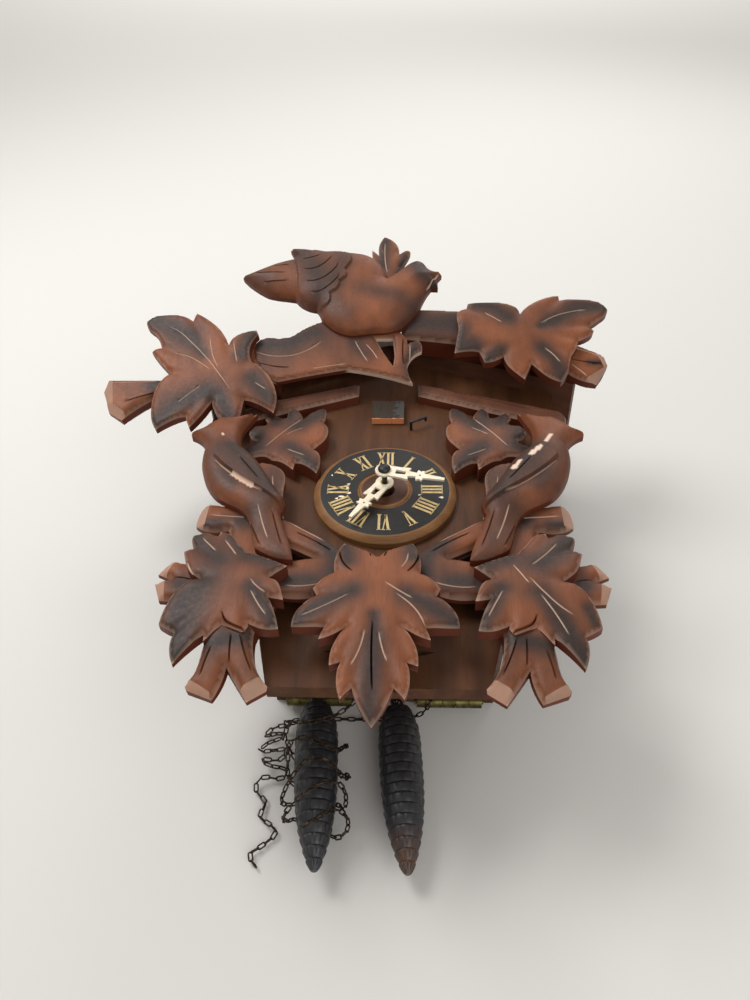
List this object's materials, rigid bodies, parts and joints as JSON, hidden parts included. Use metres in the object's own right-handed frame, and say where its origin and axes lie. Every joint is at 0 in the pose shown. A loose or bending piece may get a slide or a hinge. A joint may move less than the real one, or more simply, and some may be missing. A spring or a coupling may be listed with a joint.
{
  "type": "cuckoo clock",
  "caption": "Carved wooden cuckoo clock with a pitched roof, leaf and bird carvings, dial with two hands, cuckoo door, chain-driven movement and pine-cone weights.",
  "frame": {"origin": "on the axis of the hands, in the plane of the case's back, where it lies on a wall or a table", "axes": "+X to the right of the dial, +Y up towards XII, +Z out of the front; the clock lies on its back"},
  "size_m": [0.319, 0.3896, 0.1504],
  "materials": {
    "case_wood": "dark satin stain",
    "carved_wood": "stained and airbrushed",
    "dial_wood": "dark stain",
    "ivory": "cream moulding",
    "brass": "aged",
    "steel": "plain",
    "iron": "dark paint with some rust",
    "chain": "tarnished",
    "cloth": "folded bellows cloth",
    "pale_wood": "raw",
    "painted_wood": "painted"
  },
  "bodies": {
    "case": {"back_rail": "case_wood", "bellows_cloths": "cloth", "bird_guide": "brass", "bottom_board": "case_wood", "centre_leaf": "carved_wood", "chain_left": "chain", "chain_right": "chain", "crown_bird": "carved_wood", "crown_leaf_left": "carved_wood", "crown_leaf_right": "carved_wood", "crown_log_left": "carved_wood", "crown_log_right": "carved_wood", "crown_small_leaf": "carved_wood", "crown_twig": "carved_wood", "dial": "dial_wood", "front_panel": "case_wood", "gable_branches": "carved_wood", "hinge_board_leaves": "brass", "lower_leaf_left": "carved_wood", "lower_leaf_right": "carved_wood", "movement_back_plate": "brass", "movement_front_plate": "brass", "movement_pillars": "steel", "movement_screws": "steel", "roof_board_left": "case_wood", "roof_board_right": "case_wood", "side_bird_left": "carved_wood", "side_bird_right": "carved_wood", "side_branch_left": "carved_wood", "side_branch_right": "carved_wood", "side_panel_left": "case_wood", "side_panel_right": "case_wood", "upper_leaves": "carved_wood", "whistle_boxes": "pale_wood"},
    "back_door": {"back_door": "case_wood", "hinge_door_leaves": "brass", "gong": "steel"},
    "minute_hand": {"centre_arbor": "brass", "minute_hand": "ivory", "hand_nut": "steel"},
    "hour_hand": {"hour_wheel": "brass", "hour_hand": "ivory"},
    "minute_wheel": {"minute_wheel": "brass"},
    "time_chain_wheel": {"time_chain_wheel": "brass"},
    "third_wheel": {"third_wheel": "brass"},
    "escape_wheel": {"escape_wheel": "brass"},
    "anchor": {"anchor": "steel", "pendulum_leader": "steel"},
    "strike_chain_wheel": {"strike_chain_wheel": "brass"},
    "pin_wheel": {"pin_wheel": "brass"},
    "fly": {"fly": "brass"},
    "gong_hammer": {"gong_hammer": "steel"},
    "bellows_right": {"bellows_lid_right": "pale_wood"},
    "bellows_left": {"bellows_lid_left": "pale_wood"},
    "cuckoo": {"cuckoo": "painted_wood"},
    "cuckoo_door": {"cuckoo_door": "case_wood"},
    "door_latch": {"door_latch": "steel"},
    "weight_right": {"weight_right": "iron"},
    "weight_left": {"weight_left": "iron", "chain_winding_left": "chain"}
  },
  "joints": [
    {"name": "back_door_hinge", "type": "hinge", "parent": "case", "child": "back_door", "pos_m": [0, -0.0816, 0.0062], "axis": [-1, 0, 0], "range_deg": [0, 90]},
    {"name": "minute_hand_spin", "type": "hinge", "parent": "case", "child": "minute_hand", "pos_m": [0, 0, 0.06], "axis": [0, 0, -1], "continuous": true},
    {"name": "hour_hand_spin", "type": "hinge", "parent": "case", "child": "hour_hand", "pos_m": [0, 0, 0.07], "axis": [0, 0, -1], "continuous": true},
    {"name": "minute_wheel_spin", "type": "hinge", "parent": "case", "child": "minute_wheel", "pos_m": [-0.01247, 0.0072, 0.066], "axis": [0, 0, -1], "continuous": true},
    {"name": "time_chain_wheel_spin", "type": "hinge", "parent": "case", "child": "time_chain_wheel", "pos_m": [0.01551, -0.01986, 0.045], "axis": [0, 0, -1], "continuous": true},
    {"name": "third_wheel_spin", "type": "hinge", "parent": "case", "child": "third_wheel", "pos_m": [-0.01199, 0.0165, 0.046], "axis": [0, 0, -1], "continuous": true},
    {"name": "escape_wheel_spin", "type": "hinge", "parent": "case", "child": "escape_wheel", "pos_m": [0.00062, 0.02635, 0.04], "axis": [0, 0, -1], "continuous": true},
    {"name": "pendulum_swing", "type": "hinge", "parent": "case", "child": "anchor", "pos_m": [0.00062, 0.03935, 0.04], "axis": [0, 0, 1], "range_deg": [-4, 4]},
    {"name": "strike_chain_wheel_spin", "type": "hinge", "parent": "case", "child": "strike_chain_wheel", "pos_m": [-0.01551, -0.01986, 0.045], "axis": [0, 0, 1], "continuous": true},
    {"name": "pin_wheel_spin", "type": "hinge", "parent": "case", "child": "pin_wheel", "pos_m": [-0.02558, -0.00494, 0.045], "axis": [0, 0, 1], "continuous": true},
    {"name": "fly_spin", "type": "hinge", "parent": "case", "child": "fly", "pos_m": [-0.03037, 0.00822, 0.045], "axis": [0, 0, 1], "continuous": true},
    {"name": "hammer_lift", "type": "hinge", "parent": "case", "child": "gong_hammer", "pos_m": [-0.024, 0.033, 0.026], "axis": [0, 0, -1], "range_deg": [0, 15]},
    {"name": "bellows_lift_right", "type": "hinge", "parent": "case", "child": "bellows_right", "pos_m": [0.053, 0.0434, 0.038], "axis": [-1, 0, 0], "range_deg": [0, 18]},
    {"name": "bellows_lift_left", "type": "hinge", "parent": "case", "child": "bellows_left", "pos_m": [-0.053, 0.0434, 0.038], "axis": [-1, 0, 0], "range_deg": [0, 18]},
    {"name": "cuckoo_slide", "type": "slide", "parent": "case", "child": "cuckoo", "axis": [0, 0, 1], "range_m": [0, 0.03]},
    {"name": "cuckoo_door_hinge", "type": "hinge", "parent": "case", "child": "cuckoo_door", "pos_m": [-0.0102, 0.077, 0.0896], "axis": [0, -1, 0], "range_deg": [0, 105]},
    {"name": "door_latch_turn", "type": "hinge", "parent": "case", "child": "door_latch", "pos_m": [0.0145, 0.062, 0.088], "axis": [0, 0, 1], "range_deg": [0, 75]},
    {"name": "weight_swing_right", "type": "hinge", "parent": "case", "child": "weight_right", "pos_m": [0.00734, -0.08663, 0.0126], "axis": [0, 0, 1], "range_deg": [-4, 8]},
    {"name": "weight_swing_left", "type": "hinge", "parent": "case", "child": "weight_left", "pos_m": [-0.03596, -0.08763, 0.0161], "axis": [0, 0, 1], "range_deg": [-6, 0]}
  ],
  "couplings": [
    {"joint": "hour_hand_spin", "follows": "minute_hand_spin", "ratio": 0.083333},
    {"joint": "minute_wheel_spin", "follows": "minute_hand_spin", "ratio": -0.33333},
    {"joint": "time_chain_wheel_spin", "follows": "minute_hand_spin", "ratio": -0.75},
    {"joint": "third_wheel_spin", "follows": "minute_hand_spin", "ratio": -7.5},
    {"joint": "escape_wheel_spin", "follows": "minute_hand_spin", "ratio": 52.5},
    {"joint": "pin_wheel_spin", "follows": "strike_chain_wheel_spin", "ratio": -4},
    {"joint": "fly_spin", "follows": "strike_chain_wheel_spin", "ratio": 24},
    {"joint": "cuckoo_door_hinge", "follows": "cuckoo_slide", "rad_per_m": 61.086}
  ]
}
